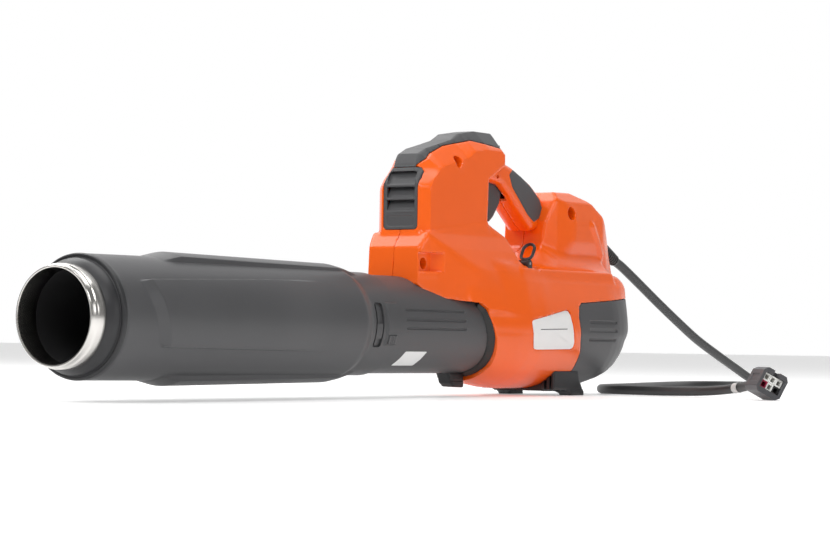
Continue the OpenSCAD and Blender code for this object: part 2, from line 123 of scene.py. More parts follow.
def poly(u, v, pts):
    """Signed distance to an outline, negative inside."""
    u, v = np.broadcast_arrays(u, v)
    best = np.full(u.shape, 1e12)
    sign = np.ones(u.shape)
    for i in range(len(pts)):
        (ax, ay), (bx, by) = pts[i], pts[i - 1]
        ex, ey, wx, wy = bx - ax, by - ay, u - ax, v - ay
        t = np.clip((wx * ex + wy * ey) / (ex * ex + ey * ey), 0, 1)
        best = np.minimum(best, (wx - ex * t) ** 2 + (wy - ey * t) ** 2)
        above, below, left = v >= ay, v < by, ex * wy > ey * wx
        sign = np.where((above & below & left) | ~(above | below | left), -sign, sign)
    return sign * np.sqrt(best)


def rounded(u, v, pts, r):
    return poly(u, v, inset(pts, r)) - r


def smax(a, b, k):
    """The larger of two distances, blended over k: what both forms share."""
    w = np.clip(0.5 + 0.5 * (a - b) / k, 0, 1)
    return b * (1 - w) + a * w + k * w * (1 - w)


def smin(a, b, k):
    return -smax(-a, -b, k)


def from_axis(s, h, at):
    """Distance from the crosswise axis through the point at."""
    return np.hypot(s - at[0], h - at[1])


def chamfer(a, b, c):
    return np.maximum(np.maximum(a, b), (a + b + c) * 0.7071)


def capsule(s, y, h, p0, p1, r):
    d = np.subtract(p1, p0)
    w = [s - p0[0], y - p0[1], h - p0[2]]
    t = np.clip((w[0] * d[0] + w[1] * d[1] + w[2] * d[2]) / (d @ d), 0, 1)
    return np.sqrt(sum((w[i] - d[i] * t) ** 2 for i in range(3))) - r


def slab(v, lo, hi):
    return np.abs(v - (lo + hi) / 2) - (hi - lo) / 2


CORNERS = [(i, j, k) for i in (0, 1) for j in (0, 1) for k in (0, 1)]
EDGES = [(a, b) for a in range(8) for b in range(a + 1, 8)
         if sum(abs(CORNERS[a][m] - CORNERS[b][m]) for m in range(3)) == 1]


def gradient(f, p):
    g = np.empty_like(p)
    for m in range(3):
        step = np.zeros(3)
        step[m] = 0.04
        up, down = p + step, p - step
        g[:, m] = f(*up.T) - f(*down.T)
    return g / np.maximum(np.linalg.norm(g, axis=1, keepdims=True), 1e-9)


def contour(f, lo, hi, step):
    """Sharp-edged contour of f = 0 over a box, as points and quads."""
    axes = [np.arange(lo[m] - step, hi[m] + 1.5 * step, step) for m in range(3)]
    v = f(axes[0][:, None, None], axes[1][None, :, None], axes[2][None, None, :])
    v = np.where(np.abs(v) < 1e-6, 1e-6, v)
    inside = v < 0
    shape = tuple(n - 1 for n in v.shape)

    def corner(c, arr=None):
        arr = inside if arr is None else arr
        return arr[c[0]:c[0] + shape[0], c[1]:c[1] + shape[1], c[2]:c[2] + shape[2]]

    count = sum(corner(c).astype(np.int8) for c in CORNERS)
    active = (count > 0) & (count < 8)
    index = np.full(shape, -1)
    index[active] = np.arange(active.sum())
    cells = np.argwhere(active)
    base = np.stack([axes[m][cells[:, m]] for m in range(3)], 1)
    vals = [corner(c, v)[active] for c in CORNERS]
    n = len(cells)
    mean, hits = np.zeros((n, 3)), np.zeros(n)
    crossings = []
    for a, b in EDGES:
        cut = (vals[a] < 0) != (vals[b] < 0)
        t = vals[a][cut] / (vals[a][cut] - vals[b][cut])
        ca, cb = np.array(CORNERS[a]), np.array(CORNERS[b])
        p = base[cut] + step * (ca + t[:, None] * (cb - ca))
        rows = np.flatnonzero(cut)
        crossings.append((rows, p))
        mean[rows] += p
        hits[rows] += 1
    mean /= hits[:, None]
    ata, atb = np.tile(np.eye(3) * 0.08, (n, 1, 1)), np.zeros((n, 3))
    for rows, p in crossings:
        g = gradient(f, p)
        ata[rows] += g[:, :, None] * g[:, None, :]
        atb[rows] += g * np.sum(g * (p - mean[rows]), 1, keepdims=True)
    x = mean + np.linalg.solve(ata, atb[..., None])[..., 0]
    x = np.clip(x, base - 0.1 * step, base + 1.1 * step)
    faces = []
    for m in range(3):
        u, w = (m + 1) % 3, (m + 2) % 3
        lo_side = [slice(None)] * 3
        hi_side = [slice(None)] * 3
        lo_side[m], hi_side[m] = slice(0, -1), slice(1, None)
        for ax in (u, w):
            lo_side[ax] = hi_side[ax] = slice(1, -1)
        first, second = inside[tuple(lo_side)], inside[tuple(hi_side)]
        edge = np.argwhere(first != second)
        keep = first[tuple(edge.T)]
        edge[:, u] += 1
        edge[:, w] += 1
        ring = []
        for du, dw in ((-1, -1), (0, -1), (0, 0), (-1, 0)):
            q = edge.copy()
            q[:, u] += du
            q[:, w] += dw
            ring.append(index[tuple(q.T)])
        quad = np.stack(ring, 1)
        quad[~keep] = quad[~keep][:, ::-1]
        faces.append(quad)
    return x, np.concatenate(faces)


def settle(f, p, limit, rounds=2):
    """Points moved onto f = 0 by short steps."""
    for _ in range(rounds):
        g = gradient(f, p)
        p = p - g * np.clip(f(*p.T), -limit, limit)[:, None]
    return p


def solid(name, f, lo, hi, step, fine=None, angle=38):
    """A closed piece from its signed distance; fine(points) marks where it gets smaller faces."""
    p, quads = contour(f, lo, hi, step)
    if fine is not None:
        mesh = bpy.data.meshes.new("work")
        mesh.from_pydata(p.tolist(), [], quads.tolist())
        bm = bmesh.new()
        bm.from_mesh(mesh)
        bm.verts.ensure_lookup_table()
        near = fine(p)
        edges = [e for e in bm.edges if near[e.verts[0].index] and near[e.verts[1].index]]
        bmesh.ops.subdivide_edges(bm, edges=edges, cuts=1, use_grid_fill=True)
        bm.verts.index_update()
        q = np.array([v.co for v in bm.verts])
        old = len(p)
        q[:old] = p
        q[old:] = settle(f, q[old:], step * 0.4, 3)
        quads = [[v.index for v in face.verts] for face in bm.faces]
        bm.free()
        bpy.data.meshes.remove(mesh)
        p = q
    return add_mesh(name, p, quads, angle)


# ---------- turned and rolled pieces ----------

def lathe(name, profile, sides=160, angle=30, at=None):
    """A closed profile of (radius, s) turned about the air axis, or about another placement."""
    n = len(profile)
    turns = np.linspace(0, 2 * math.pi, sides, endpoint=False)
    pts = [(s, -r * math.cos(t), r * math.sin(t)) for t in turns for r, s in profile]
    faces = [(i * n + j, i * n + (j + 1) % n, ((i + 1) % sides) * n + (j + 1) % n,
              ((i + 1) % sides) * n + j) for i in range(sides) for j in range(n)]
    if at is not None:
        pts = [tuple(at @ Vector((x / 1000, y / 1000, z / 1000))) for x, y, z in pts]
    obj = add_mesh(name, pts, faces, angle, metres=at is not None)
    weld(obj)
    return obj


def weld(obj):
    bm = bmesh.new()
    bm.from_mesh(obj.data)
    bmesh.ops.remove_doubles(bm, verts=bm.verts, dist=1e-6)
    bmesh.ops.recalc_face_normals(bm, faces=bm.faces)
    bm.to_mesh(obj.data)
    bm.free()


def rolled(name, stations, angles, outer, inner, hole=None, angle=25):
    """A tube whose outer radius varies; hole(s, angle) marks the cells that are cut through."""
    s, t = np.meshgrid(stations, np.radians(angles), indexing="ij")
    ni, nj = s.shape
    pts = []
    for r in (outer(s, np.degrees(t)), inner(s) + 0 * t):
        pts.append(np.stack([s, -r * np.cos(t), r * np.sin(t)], -1).reshape(-1, 3))
    pts = np.concatenate(pts)
    shift = ni * nj
    mid_s = (s[:-1, :] + s[1:, :]) / 2
    wide = np.append(angles, angles[0] + 360)
    mid_t = np.broadcast_to(((wide[:-1] + wide[1:]) / 2)[None, :], mid_s.shape)
    open_cell = np.zeros(mid_s.shape, bool) if hole is None else hole(mid_s, mid_t)

    def at(i, j):
        return i * nj + j % nj

    faces = []
    for i in range(ni - 1):
        for j in range(nj):
            if open_cell[i, j]:
                continue
            a, b, c, d = at(i, j), at(i, j + 1), at(i + 1, j + 1), at(i + 1, j)
            faces += [(a, b, c, d), (a + shift, d + shift, c + shift, b + shift)]
            for p, q, (k, m) in ((a, b, (i - 1, j)), (b, c, (i, j + 1)), (c, d, (i + 1, j)),
                                 (d, a, (i, j - 1))):
                if not 0 <= k < ni - 1 or open_cell[k, m % nj]:
                    faces.append((q, p, p + shift, q + shift))
    return add_mesh(name, pts, faces, angle)


def full_turn(angles):
    """Angles in degrees, wrapped to -180 to 180, sorted, each once."""
    return np.unique(np.round(np.mod(np.array(angles) + 180, 360) - 180, 3))


def spread(*knots):
    """Grid lines from (start, end, spacing) runs."""
    runs = [np.arange(a, b - d * 0.25, d) for a, b, d in knots]
    return np.unique(np.round(np.concatenate(runs + [[knots[-1][1]]]), 4))


def ease(x):
    x = np.clip(x, 0, 1)
    return x * x * (3 - 2 * x)


def patch(name, outline, radius, thick, rings=7):
    """A film or plate wrapped on a cylinder; outline is (s, arc length in mm up from the left)."""
    edge = np.array(outline)
    mid = edge.mean(0)
    pts, n = [], len(edge)
    for level in (radius + thick, radius):
        for k in range(rings, 0, -1):
            for s, arc in mid + (edge - mid) * k / rings:
                t = arc / radius
                pts.append((s, -level * math.cos(t), level * math.sin(t)))
        t = mid[1] / radius
        pts.append((mid[0], -level * math.cos(t), level * math.sin(t)))
    half = n * rings + 1
    faces = []
    for base in (0, half):
        for k in range(rings - 1):
            for i in range(n):
                a, b = base + k * n + i, base + k * n + (i + 1) % n
                faces.append((a, b, b + n, a + n))
        last = base + (rings - 1) * n
        faces += [(last + i, last + (i + 1) % n, base + half - 1) for i in range(n)]
    faces += [(i, half + i, half + (i + 1) % n, (i + 1) % n) for i in range(n)]
    return add_mesh(name, pts, faces)


def soft_corners(corners, r, steps=5):
    """An outline of straight runs with rounded corners, cut into short pieces."""
    out = []
    p = [np.array(c, float) for c in corners]
    for i, q in enumerate(p):
        a, b = unit2(p[i - 1] - q), unit2(p[(i + 1) % len(p)] - q)
        for k in range(steps + 1):
            t = k / steps
            out.append(q + r * (a * (1 - t) ** 2 + b * t ** 2))
        nxt = p[(i + 1) % len(p)]
        run = np.linalg.norm(nxt - q) - 2 * r
        for k in range(1, max(1, int(run // 8))):
            out.append(q + b * (r + run * k / max(1, int(run // 8))))
    return [tuple(q) for q in out]


# ---------- materials ----------

def material(name, colour, rough, spread_rough=0.06, bump=0.05, grain=900.0, tint=0.06,
             metal=0.0, coat=0.0, sheen=0.0, rings=False):
    mat = bpy.data.materials.new(name)
    mat.use_nodes = True
    nodes, links = mat.node_tree.nodes, mat.node_tree.links
    shader = nodes["Principled BSDF"]
    shader.inputs["Metallic"].default_value = metal
    shader.inputs["Coat Weight"].default_value = coat
    shader.inputs["Coat Roughness"].default_value = 0.06
    shader.inputs["Sheen Weight"].default_value = sheen
    where = nodes.new("ShaderNodeTexCoord")
    blotch = nodes.new("ShaderNodeTexNoise")
    blotch.inputs["Scale"].default_value = 14
    blotch.inputs["Detail"].default_value = 4
    fine = nodes.new("ShaderNodeTexNoise")
    fine.inputs["Scale"].default_value = grain
    fine.inputs["Detail"].default_value = 2
    links.new(where.outputs["Object"], blotch.inputs["Vector"])
    if rings:
        squeeze = nodes.new("ShaderNodeMapping")
        squeeze.inputs["Scale"].default_value = (3.0, 0.02, 0.02)
        links.new(where.outputs["Object"], squeeze.inputs["Vector"])
        links.new(squeeze.outputs["Vector"], fine.inputs["Vector"])
    else:
        links.new(where.outputs["Object"], fine.inputs["Vector"])
    ramp = nodes.new("ShaderNodeValToRGB")
    ramp.color_ramp.elements[0].position = 0.3
    ramp.color_ramp.elements[1].position = 0.7
    ramp.color_ramp.elements[0].color = (*[c * (1 - tint) for c in colour], 1)
    ramp.color_ramp.elements[1].color = (*[min(1, c * (1 + tint)) for c in colour], 1)
    links.new(blotch.outputs["Fac"], ramp.inputs["Fac"])
    links.new(ramp.outputs["Color"], shader.inputs["Base Color"])
    gloss = nodes.new("ShaderNodeMapRange")
    gloss.inputs["To Min"].default_value = rough - spread_rough
    gloss.inputs["To Max"].default_value = rough + spread_rough
    links.new(fine.outputs["Fac"] if rings else blotch.outputs["Fac"], gloss.inputs["Value"])
    links.new(gloss.outputs["Result"], shader.inputs["Roughness"])
    relief = nodes.new("ShaderNodeBump")
    relief.inputs["Strength"].default_value = bump
    relief.inputs["Distance"].default_value = 0.0004
    links.new(fine.outputs["Fac"], relief.inputs["Height"])
    links.new(relief.outputs["Normal"], shader.inputs["Normal"])
    return mat


ORANGE = (0.9, 0.118, 0.003)
GREY = (0.062, 0.062, 0.065)
# Colour, roughness, its spread, relief, grain, tint, then metal, coat, sheen and turned rings
LOOKS = {
    "polished_steel": ((0.72, 0.70, 0.67), 0.2, 0.07, 0.12, 800, 0.03, 1.0, 0, 0, True),
    "black_plastic": ((0.018, 0.018, 0.02), 0.42, 0.06, 0.1, 1500),
    "grey_plastic": (GREY, 0.42, 0.05, 0.14, 1700, 0.05),
    "fan_plastic": ((0.05, 0.05, 0.055), 0.45, 0.06, 0.2, 1200, 0.12),
    "air_tube_plastic": ((0.016, 0.016, 0.017), 0.5, 0.05, 0.08),
    "foam": ((0.06, 0.06, 0.06), 0.9, 0.05, 0.8, 500, 0.3),
    "seal_rubber": ((0.012, 0.012, 0.012), 0.5, 0.08, 0.12, 700),
    "white_label": ((0.84, 0.84, 0.83), 0.3, 0.04, 0.03, 300, 0.015),
    "orange_plastic": (ORANGE, 0.24, 0.03, 0.02, 500, 0.025, 0, 0.15),
    "grip_rubber": ((0.06, 0.062, 0.066), 0.62, 0.06, 0.35, 1600, 0.08, 0, 0, 0.1),
    "screw_steel": ((0.5, 0.5, 0.51), 0.34, 0.08, 0.1, 900, 0.06, 1.0),
    "button_orange": (ORANGE, 0.45, 0.05, 0.1, 900, 0.04),
    "button_grey": ((0.2, 0.2, 0.21), 0.5, 0.05, 0.1, 900, 0.06),
    "motor_steel": ((0.42, 0.42, 0.43), 0.36, 0.08, 0.3, 700, 0.08, 1.0, 0, 0, True),
    "circuit_board": ((0.02, 0.12, 0.05), 0.35, 0.08, 0.2, 600, 0.2),
    "aluminium": ((0.7, 0.71, 0.72), 0.35, 0.08, 0.1, 800, 0.04, 1.0),
    "lead_insulation": ((0.35, 0.03, 0.02), 0.4, 0.05, 0.08, 900),
    "cord_rubber": ((0.03, 0.03, 0.031), 0.42, 0.08, 0.15, 1100, 0.12),
    "tie_plastic": ((0.5, 0.5, 0.49), 0.45, 0.05, 0.1, 900, 0.05),
    "connector_plastic": ((0.055, 0.055, 0.06), 0.42, 0.06, 0.16, 1300, 0.08),
    "contact_white": ((0.8, 0.8, 0.77), 0.4, 0.05, 0.06, 900, 0.03),
    "contact_red": ((0.33, 0.008, 0.05), 0.4, 0.05, 0.06, 900, 0.05),
    "contact_black": ((0.015, 0.015, 0.015), 0.4, 0.05, 0.06, 900),
}
MATERIALS = {name: material(name, *look) for name, look in LOOKS.items()}
SLOTS = {row["node"]: row["material_slot"] for row in frame["record"]["subparts"]}
BODY_OF = {node: body for body, nodes in frame["record"]["behaviour"]["bodies"].items()
           for node in nodes}


def finish_piece(obj, node, replaces=True, slot=None):
    """Material, slot and body of a new piece, from the CAD node that it stands for."""
    slot = slot or SLOTS[node]
    obj.data.materials.clear()
    obj.data.materials.append(MATERIALS[slot])
    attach(obj, BODY_OF[node])
    if replaces:
        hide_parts(node)
    return obj


# ---------- camera ----------

YAW, PITCH, ROLL = math.radians(34.4), math.radians(1.53), math.radians(0.84)
LENS = 108.433735
CAMERA_AT = (-2.1143, -1.5085, 0.0567)
camera_data = bpy.data.cameras.new("camera")
camera_data.sensor_width = 36
camera_data.lens = LENS
camera_data.clip_end = 50
camera = bpy.data.objects.new("camera", camera_data)
bpy.context.collection.objects.link(camera)
forward = Vector((math.cos(PITCH) * math.cos(YAW), math.cos(PITCH) * math.sin(YAW),
                  math.sin(PITCH)))
level = forward.cross(Vector((0, 0, 1))).normalized()
upright = level.cross(forward)
right = math.cos(ROLL) * level + math.sin(ROLL) * upright
up = -math.sin(ROLL) * level + math.cos(ROLL) * upright
camera.matrix_world = Matrix.Translation(CAMERA_AT) @ Matrix(
    (right, up, -forward)).transposed().to_4x4()
bpy.context.scene.camera = camera

# ---------- cord ----------

ROUTE = [
    (481, -20, 158), (500, -20, 151), (540, -20, 133), (590, -20, 110), (640, -20, 88),
    (690, -20, 67), (740, -21, 49), (790, -22, 32), (835, -23, 17), (872, -22, 9),
    (906, -12, 6), (930, 12, 6), (934, 46, 6), (912, 74, 6), (876, 84, 6), (830, 80, 6),
    (770, 68, 6), (710, 54, 6), (650, 38, 6), (595, 22, 6), (548, 11, 6), (508, 4, 6),
    (472, -9, 6), (445, -34, 6), (430, -72, 6), (425, -120, 6), (425, -168, 7),
    (418, -206, 10), (402, -235, 14), (378, -260, 18.4)]


def smooth_route(points, steps=5):
    p = np.array([points[0], *points, points[-1]], float)
    out = []
    for i in range(1, len(p) - 2):
        a, b, c, d = p[i - 1:i + 3]
        for t in np.arange(steps) / steps:
            out.append(0.5 * (2 * b + (c - a) * t + (2 * a - 5 * b + 4 * c - d) * t * t
                              + (3 * b - a - 3 * c + d) * t ** 3))
    return np.array(out + [p[-1]])


line = smooth_route(ROUTE) / 1000
curve = bpy.data.curves.new("power_cord_rubber", "CURVE")
curve.dimensions = "3D"
curve.bevel_depth = 0.0055
curve.bevel_resolution = 5
curve.use_fill_caps = True
spline = curve.splines.new("POLY")
spline.points.add(len(line) - 1)
for point, co in zip(spline.points, line):
    point.co = (*co, 1)
spline.use_smooth = True
cord = bpy.data.objects.new("power_cord_rubber", curve)
bpy.context.collection.objects.link(cord)
finish_piece(cord, "power_cord")

# Ribbed gland, tapered towards the cord
GLAND_TILT = math.radians(21.1)
gland_axis = Matrix.Translation((0.446, -0.020, 0.1715)) @ Matrix.Rotation(GLAND_TILT, 4, "Y")
profile = [(0, -10), (10.6, -10), (11.4, -9.4), (11.5, -7.6), (11, -7), (9, -7), (9, 4)]
for rib in range(7):
    at_s, r = 5 + 4.4 * rib, 8.9 - 0.34 * rib
    profile += [(r - 1.5, at_s), (r - 1.5, at_s + 1.2), (r, at_s + 1.7), (r + 0.1, at_s + 3.2),
                (r - 0.3, at_s + 4)]
profile += [(6.4, 36.4), (6.0, 37.4), (0, 37.4)]
gland = finish_piece(lathe("cord_gland_ribbed", profile, 48, at=gland_axis), "cord_gland")

# Tie round the cord, near its connector
tie_axis = (Matrix.Translation((0.4105, -0.221, 0.012))
            @ Matrix.Rotation(math.radians(-119), 4, "Z")
            @ Matrix.Rotation(math.radians(-7), 4, "Y"))
tie = lathe("cord_tie_band", [(5.55, -4.8), (5.95, -4.8), (6, -4.4), (6, 4.4), (5.95, 4.8),
                              (5.55, 4.8)], 40, at=tie_axis)
finish_piece(tie, "cord_tie")

# Connector: boot, housing with its six cavities
connector = (Matrix.Translation((0.378, -0.260, 0.0184))
             @ Matrix.Rotation(math.radians(-131), 4, "Z")
             @ Matrix.Rotation(math.radians(-28), 4, "X"))
FACE = [(-15.5, 10), (-11.5, 14.5), (11.5, 14.5), (15.5, 10), (15.5, -10), (11.5, -14.5),
        (-11.5, -14.5), (-15.5, -10)]


def placed(obj, matrix):
    """Moves a piece built round the air axis's origin, in millimetres, to its own placement."""
    shift = Matrix.Translation((TOTAL_L / 2000, 0, -AXIS_H / 1000))
    obj.data.transform(matrix @ shift)
    return obj


def connector_shape(s, y, h):
    f = smax(rounded(y, h, FACE, 1.2), slab(s, 13, 47), 0.8)
    f = smax(f, -smax(rounded(y, h, [(-11.8, 8.6), (11.8, 8.6), (11.8, -8.6), (-11.8, -8.6)],
                              0.8), 19 - s, 0.4), 0.5)
    f = smax(f, -smax(smax(slab(y, -3.5, 3.5), 8 - h, 0.3), 36 - s, 0.3), 0.4)
    for side in (-1, 1):
        f = smax(f, -smax(smax(slab(h, -4, 4), 14.6 - side * y, 0.4), slab(s, 20, 40), 0.4), 0.5)
    return f


def boot_shape(s, y, h):
    neck = smax(np.hypot(y, h) - (6.1 + 1.4 * ease(s / 9)), slab(s, 0, 9), 0.6)
    for rib in range(3):
        neck = smax(neck, -smax(slab(s, 1.4 + 2.6 * rib, 2.4 + 2.6 * rib),
                                6.2 - np.hypot(y, h), 0.2), 0.3)
    flange = smax(rounded(y, h, [(-11, 10.5), (11, 10.5), (11, -10.5), (-11, -10.5)], 3),
                  slab(s, 7, 13), 0.8)
    return smin(neck, flange, 1.2)


housing = placed(solid("connector_housing_moulded", connector_shape, (13, -16, -15),
                       (47, 16, 15), 0.8), connector)
finish_piece(housing, "connector_housing")
boot = placed(solid("connector_boot_ribbed", boot_shape, (0, -11, -11), (13, 11, 11),
                    0.6), connector)
finish_piece(boot, "connector_boot")

# ---------- blower tube ----------

finish_piece(lathe("nozzle_ring_spun", [
    (43, 0.8), (43.3, 0.2), (44, 0), (45, 0.1), (45.4, 0.6), (45.6, 4.6), (46.1, 5.6),
    (47.1, 6.4), (47.3, 7), (47.3, 15.6), (47.0, 16.6), (46.4, 17), (45, 17), (45, 24),
    (43, 24)], 256), "nozzle_ring")
finish_piece(lathe("front_cap_turned", [
    (45.1, 17.1), (47.0, 17.1), (47.5, 17.6), (49.2, 19.6), (50.9, 22), (52.3, 25.2),
    (52.8, 27.6), (53.1, 28.9), (53.4, 29.1), (53.7, 29.2), (54.0, 30.0), (54.4, 30.0),
    (54.7, 29.3), (56.2, 29.5), (56.9, 30.2), (57.2, 31.4), (57.2, 33.8), (56.6, 34.0),
    (55.1, 34.1), (55, 44), (52.5, 44), (52.5, 33), (47.6, 27), (45.4, 24), (45.1, 23.8)], 256,
    32), "front_cap")

SIDE_PANEL = [(56, 31), (63, 37), (336, 46), (350, 44), (350, -26), (336, -30), (88, -28),
              (79, -21)]
TOP_PAD = [(121, 26), (392, 27), (430, 24), (430, -24), (392, -27), (121, -26)]
LATCH = (438.5, 459.5, -24, 24)         # s from and to, degrees from and to
BUTTON = (441, 455, -22.4, -11.6)
PANEL_R, PAD_R = 61.6, 62.6


def silencer_outer(s, deg):
    """Radius of the tube with its side panels, raised pads, shoulder and latch plates."""
    side = (deg + 180) % 360 - 180
    left = np.where(np.abs(side) > 90, np.sign(side) * (180 - np.abs(side)), side)
    shoulder = ease((s - 396) / 20)
    base = np.interp(s, [34.2, 120, 394], [TUBE_R - 1, TUBE_R - 0.5, TUBE_R])
    r = base + (COLLAR_R - base) * shoulder
    r = r - 0.9 * (1 - ease((s - 34.2) / 2.4))
    sides = ease(-poly(s, left * 1.02, SIDE_PANEL) / 3.2 + 0.2)
    nose = np.clip((s - 62 - (33 - left) * 0.36) / 12, 0, 1)
    fade = 1 - ease((s - 250) / 94)
    r = np.maximum(r, r + (PANEL_R - r) * sides * nose * fade)
    away = np.minimum(np.abs(np.abs(side) - 90), 90) * 1.03
    pad = poly(s, away, TOP_PAD)
    top_r = np.interp(s, [117, 146, 392, 406, 430], [TUBE_R - 1, PAD_R, 60.3, 58.4, 53.2])
    lift = ease(-pad / 3.4 + 0.15)
    r = np.maximum(r, r + (np.maximum(top_r, r) - r) * lift)
    plate = np.maximum(slab(s, LATCH[0], LATCH[1]), slab(left, LATCH[2], LATCH[3]))
    r = r + 1.5 * ease(-plate / 1.6 + 0.2) * (s < 458.2)
    return r


def silencer_inner(s):
    return np.interp(s, [34.2, 402, 414, 458], [TUBE_R - 2.2, TUBE_R - 2.2, 51.5, 51.5])


def silencer_hole(s, deg):
    """The two bayonet windows and the hole for the latch button."""
    side = (deg + 180) % 360 - 180
    turned = np.where(np.abs(side) > 90, (side + 360) % 360 - 180, side)
    window = (s > 419) & (s < 433) & (turned > -26.5) & (turned < 23.5)
    corner = np.hypot(np.maximum(np.abs(s - 426) - 3.5, 0),
                      np.maximum(np.abs(turned + 1.5) - 21.5, 0)) > 3.5
    b = (s > BUTTON[0]) & (s < BUTTON[1]) & (side > BUTTON[2]) & (side < BUTTON[3])
    return (window & ~corner) | b


coarse = 1
stations = spread((34.2, 38, 1.2), (38, 56, 3), (56, 112, 1.3 * coarse), (112, 116, 4),
                  (116, 150, 1.6 * coarse), (150, 330, 6), (330, 348, 1.5 * coarse),
                  (348, 386, 5), (386, 418, 1.4 * coarse), (418, 434, 0.7 * coarse),
                  (434, 441, 1), (441, 455, 1.4), (455, 458.01, 0.75))
angles = []
for start, stop, gap in ((-30, -16, 0.7), (-16, 22, 1.4), (22, 47, 0.8), (47, 62, 2.5),
                         (62, 70, 0.9), (70, 90, 2.5)):
    angles += list(np.arange(start, stop - 0.2, gap * coarse))
angles += [180 - a for a in angles] + [90]
angles += list(np.arange(-62, -30.2, 2)) + list(np.arange(-70, -62, 0.9)) + list(
    np.arange(-90, -70, 2.5))
angles += [-180 - a for a in angles if -90 < a < -30]
angles = full_turn(angles)
shell = rolled("silencer_shell_ribbed", stations, angles, silencer_outer, silencer_inner,
               silencer_hole, 24)
finish_piece(shell, "silencer_shell")


def button_shape(s, y, h):
    """Latch button in its own axes: s along the tube, y round it, h outwards."""
    f = smax(smax(slab(s, -6.6, 6.6), slab(y, -4.6, 4.6), 1.2), slab(h, 52.7, 55.8), 0.6)
    for ridge in (-3, 0, 3):
        f = smax(f, -(np.hypot(s - ridge, h - 56.1) - 0.9), 0.3)
    return f


turn = math.radians(17)
button = solid("latch_button_ridged", button_shape, (-7, -5, 52), (7, 5, 56.5), 0.7)
frame_of_button = Matrix(((1, 0, 0, (448 - TOTAL_L / 2) / 1000),
                          (0, -math.sin(turn), -math.cos(turn), 0),
                          (0, math.cos(turn), -math.sin(turn), AXIS_H / 1000),
                          (0, 0, 0, 1)))
finish_piece(placed(button, frame_of_button), "latch_button")

# ---------- duct ----------

GROOVES = (14.5, 4.8, -4.0)     # heights of the three grooves


def duct_outer(s, deg):
    h = DUCT_R * np.sin(np.radians(deg))
    r = DUCT_R + 0 * s
    for level in GROOVES:
        reach = np.hypot(np.maximum(np.abs(s - 532) - 55, 0), h - level)
        r = r - 1.15 * ease((1.55 - reach) / 0.9)
    lip = ease((461 - s) / 2)
    return r - 0.5 * lip


duct_angles = []
for start, stop, gap in ((-90, -8, 3), (-8, 20, 0.42 * coarse), (20, 90, 3)):
    duct_angles += list(np.arange(start, stop - 0.1, gap))
duct_angles += [180 - a for a in duct_angles] + [90]
duct_angles = full_turn(duct_angles)
duct = rolled("duct_housing_grooved",
              spread((424, 458, 8), (458.3, 462, 0.9), (462, 474, 4), (474, 482, 0.6 * coarse),
                     (482, 582, 12), (582, 590, 0.6 * coarse), (590, 655.01, 9)),
              duct_angles,
              lambda s, d: np.where(s < 458.2, DUCT_R - GAP, duct_outer(s, d)),
              lambda s: 49.3 + 0 * s, None, 24)
lugs = []
for side in (-1, 1):
    lug_pts = []
    for s in (421, 431):
        for r in (DUCT_R - 0.5, COLLAR_R - 0.4):
            for d in np.linspace(0, 16.7, 7):
                t = math.radians(d)
                lug_pts.append((s, side * r * math.cos(t), side * r * math.sin(t)))
    lug_faces = []
    for k in range(6):
        a, b, c, d = k, 7 + k, 14 + k, 21 + k
        lug_faces += [(a, a + 1, b + 1, b), (c, d, d + 1, c + 1), (b, b + 1, d + 1, d),
                      (a, c, c + 1, a + 1)]
    lug_faces += [(0, 7, 21, 14), (6, 20, 27, 13)]
    lugs.append(add_mesh("lug", lug_pts, lug_faces))
duct = join("duct_housing_grooved", [duct, *lugs])
finish_piece(duct, "duct_housing")

sticker = patch("duct_sticker_film",
                soft_corners([(480, -50), (486, -29.5), (525, -29.5), (519, -50)], 1.5),
                DUCT_R, 0.25)
finish_piece(sticker, "duct_sticker")

# ---------- housings ----------

TOWER_SIDE = [(534, 80), (534, 150), (537, 163), (547, 183), (562, 190), (578, 194), (608, 202),
              (623, 210), (655, 215), (688, 215), (690, 212), (690, 178), (672, 168), (657, 160),
              (655, 110), (655, 80)]
TOWER_TOP = [(534, 40), (534, 150), (537, 163), (547, 183), (562, 190), (578, 194), (608, 202),
             (623, 210), (655, 215), (688, 215), (720, 196), (720, 40)]
SHOULDER_SIDE = [(521, 20), (521, 45), (524, 82), (536, 98), (655, 113), (690, 98), (702, 66),
                 (760, 62), (760, 20)]
SHOULDER_FRONT = [(-60, 20), (-60, 116), (32, 116), (35, 98), (43, 82), (52, 60), (59, 20)]
SHOULDER_PLAN = [(521, 32), (530, 35), (548, 40), (575, 46), (610, 52), (650, 56), (690, 56),
                 (730, 48), (760, 34), (760, -60), (521, -60)]
SHELF_SIDE = [(640, -6), (640, 66), (885, 66), (912, 62.5), (928, 52), (940, 37), (947, 18),
              (949.5, 2), (949.5, -6)]
SHELF_FRONT = [(-60, -6), (-60, 66), (48, 66), (57, 50), (64, 20), (66, 8), (66, -6)]
SHELF_PLAN = [(640, 38), (664, 51), (695, 60), (730, 64), (880, 64), (905, 61), (922, 55),
              (936, 45), (945, 34), (949.5, 20), (949.5, -60), (640, -60)]
HUMP_SIDE = [(772, 30), (774, 70), (780, 92), (785, 122), (797, 146), (806, 156), (841, 157),
             (868, 149), (894, 131), (910, 108), (925, 82), (938, 60), (938, 30)]
HUMP_FRONT = [(-60, 30), (-60, 157), (24, 157), (36, 145), (42, 120), (41, 100), (37, 84),
              (34, 60), (34, 30)]
HUMP_PLAN = [(772, 22), (778, 24), (800, 34), (830, 42), (890, 42), (920, 32), (945, 26),
             (945, -60), (772, -60)]
DRUM_PROFILE = [(600, -60), (600, 53), (625, 55.6), (650, 59.6), (675, 64), (698, 67),
                (722, 68.4), (872, 68.4), (886, 67.3), (898, 65), (909, 61.5), (920, 56.5),
                (930, 50), (938, 42), (944.5, 32), (948.5, 20), (950, 8), (950, -60)]
